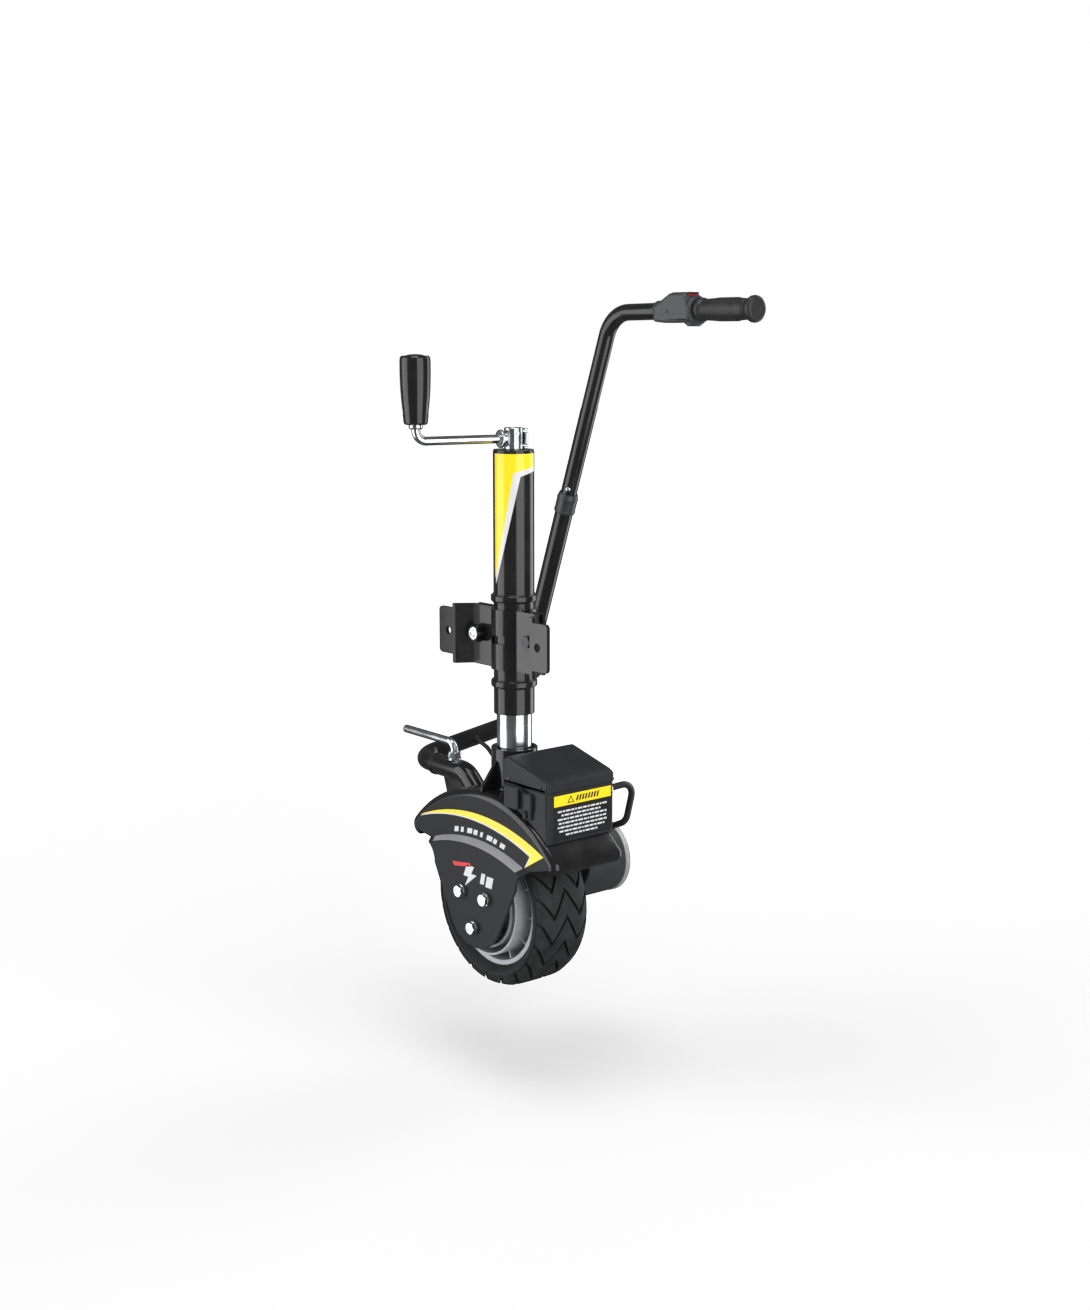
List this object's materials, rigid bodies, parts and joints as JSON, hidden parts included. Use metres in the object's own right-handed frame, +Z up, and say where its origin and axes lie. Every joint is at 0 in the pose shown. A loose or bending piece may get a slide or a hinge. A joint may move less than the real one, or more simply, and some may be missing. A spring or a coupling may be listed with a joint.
{
  "type": "powered jockey wheel",
  "caption": "Telescoping screw jack with a crank and a bolt-on clamp bracket, over a motor-driven steered wheel with a control box and a steering handle.",
  "frame": {"origin": "midway between the two bolt holes of the clamp's ears, on the face that bolts to the trailer", "axes": "+X along the way the wheel rolls, towards the control box; +Y from the trailer's mounting face towards the motor; +Z up the tube"},
  "size_m": [0.576, 0.3996, 1.0345],
  "materials": {
    "black_powder_coat": "gloss black powder coat",
    "satin_black_paint": "satin black paint",
    "bright_zinc": "bright zinc plate",
    "steel": "machined steel",
    "dark_steel": "black oxide steel",
    "motor_alloy": "cast and painted silver",
    "rim_alloy": "cast alloy with machined edges",
    "tyre_rubber": "matt tread rubber",
    "black_rubber": "satin moulded rubber",
    "box_plastic": "fine grained black plastic",
    "black_plastic": "smooth black plastic",
    "bush_plastic": "natural acetal",
    "red_plastic": "gloss red plastic",
    "bronze": "cast bronze",
    "cable_jacket": "black cable jacket",
    "board_green": "green solder resist",
    "relay_blue": "blue relay cases",
    "copper": "copper windings and laminations",
    "magnet_ferrite": "ferrite"
  },
  "bodies": {
    "root": {"outer_tube": "black_powder_coat", "stop_rings": "black_powder_coat", "tube_cap": "black_plastic", "thrust_bearing": "steel", "guide_bush": "bush_plastic", "clamp_front": "black_powder_coat", "clamp_back": "black_powder_coat", "clamp_bolt": "bright_zinc"},
    "clamp_screw": {"clamp_knob": "black_plastic"},
    "crank": {"lead_screw": "steel", "crank_hub": "bright_zinc", "hub_pin": "bright_zinc", "crank_rod": "bright_zinc", "knob_ferrule": "bright_zinc"},
    "crank_grip": {"crank_knob": "black_plastic", "knob_cap": "black_plastic"},
    "lift": {"lift_tube": "bright_zinc", "lead_nut": "bronze", "kingpin": "steel"},
    "fork": {"fork_socket": "black_powder_coat", "swivel_bush": "bush_plastic", "fork_gussets": "black_powder_coat", "crown_plate": "black_powder_coat", "bolt_side_plate": "black_powder_coat", "motor_side_plate": "black_powder_coat", "stub_axle": "steel", "axle_bolts": "bright_zinc", "bolt_washers": "dark_steel", "gear_housing": "satin_black_paint", "motor_can": "satin_black_paint", "motor_end_cap": "motor_alloy", "motor_magnets": "magnet_ferrite", "motor_brushes": "dark_steel", "cover_screws": "dark_steel", "box_base": "box_plastic", "box_lid": "box_plastic", "circuit_board": "board_green", "relays": "relay_blue", "power_socket": "black_plastic", "box_latch": "black_plastic", "cable_gland": "bright_zinc", "motor_cable": "cable_jacket", "switch_cable": "cable_jacket", "handle_socket": "black_powder_coat", "lever_nut": "bright_zinc"},
    "rotor": {"armature": "copper", "drive_pinion": "steel"},
    "flap": {"socket_flap": "black_plastic"},
    "lever": {"clamp_lever": "bright_zinc"},
    "wheel": {"tyre": "tyre_rubber", "rim": "rim_alloy", "wheel_bearings": "steel", "hub_gear": "steel"},
    "handle": {"lower_handle": "black_powder_coat", "handle_collar": "black_powder_coat", "upper_handle": "black_powder_coat", "switch_housing": "black_plastic", "grip": "black_rubber"},
    "button": {"collar_button": "bright_zinc"},
    "switch": {"rocker": "red_plastic"}
  },
  "joints": [
    {"name": "clamp_screw_turn", "type": "hinge", "parent": "root", "child": "clamp_screw", "pos_m": [-0.056, 0.024, 0], "axis": [0, 1, 0], "range_deg": [-180, 180]},
    {"name": "crank_turn", "type": "hinge", "parent": "root", "child": "crank", "pos_m": [0, 0.043, 0.292], "axis": [0, 0, 1], "range_deg": [-3240, 10800]},
    {"name": "knob_spin", "type": "hinge", "parent": "crank", "child": "crank_grip", "pos_m": [-0.02744, -0.1126, 0.36], "axis": [0, 0, 1], "continuous": true},
    {"name": "height", "type": "slide", "parent": "root", "child": "lift", "axis": [0, 0, -1], "range_m": [-0.045, 0.15]},
    {"name": "swivel", "type": "hinge", "parent": "lift", "child": "fork", "pos_m": [0, 0.043, -0.22], "axis": [0, 0, 1], "continuous": true},
    {"name": "wheel_roll", "type": "hinge", "parent": "fork", "child": "wheel", "pos_m": [0, 0.043, -0.402], "axis": [0, 1, 0], "continuous": true},
    {"name": "rotor_spin", "type": "hinge", "parent": "fork", "child": "rotor", "pos_m": [0, 0.043, -0.3705], "axis": [0, 1, 0], "continuous": true},
    {"name": "flap_swing", "type": "hinge", "parent": "fork", "child": "flap", "pos_m": [0.082, -0.0285, -0.205], "axis": [-1, 0, 0], "range_deg": [0, 110]},
    {"name": "lever_turn", "type": "hinge", "parent": "fork", "child": "lever", "pos_m": [-0.15, 0.043, -0.2], "axis": [0, 0, 1], "range_deg": [-90, 90]},
    {"name": "handle_tilt", "type": "hinge", "parent": "fork", "child": "handle", "pos_m": [-0.2, 0.043, -0.231], "axis": [1, 0, 0], "range_deg": [-60, 0]},
    {"name": "collar_button_press", "type": "slide", "parent": "handle", "child": "button", "axis": [-0.5541, 0.8084, 0.1987], "range_m": [0, 0.003], "stiffness_N_per_m": 300},
    {"name": "switch_rock", "type": "hinge", "parent": "handle", "child": "switch", "pos_m": [0.151, 0.243, 0.496], "axis": [0, 1, 0], "range_deg": [-10, 10], "stiffness_Nm_per_rad": 0.2}
  ],
  "couplings": [
    {"joint": "height", "follows": "crank_turn", "m_per_rad": 0.00079577},
    {"joint": "rotor_spin", "follows": "wheel_roll", "ratio": 4}
  ]
}
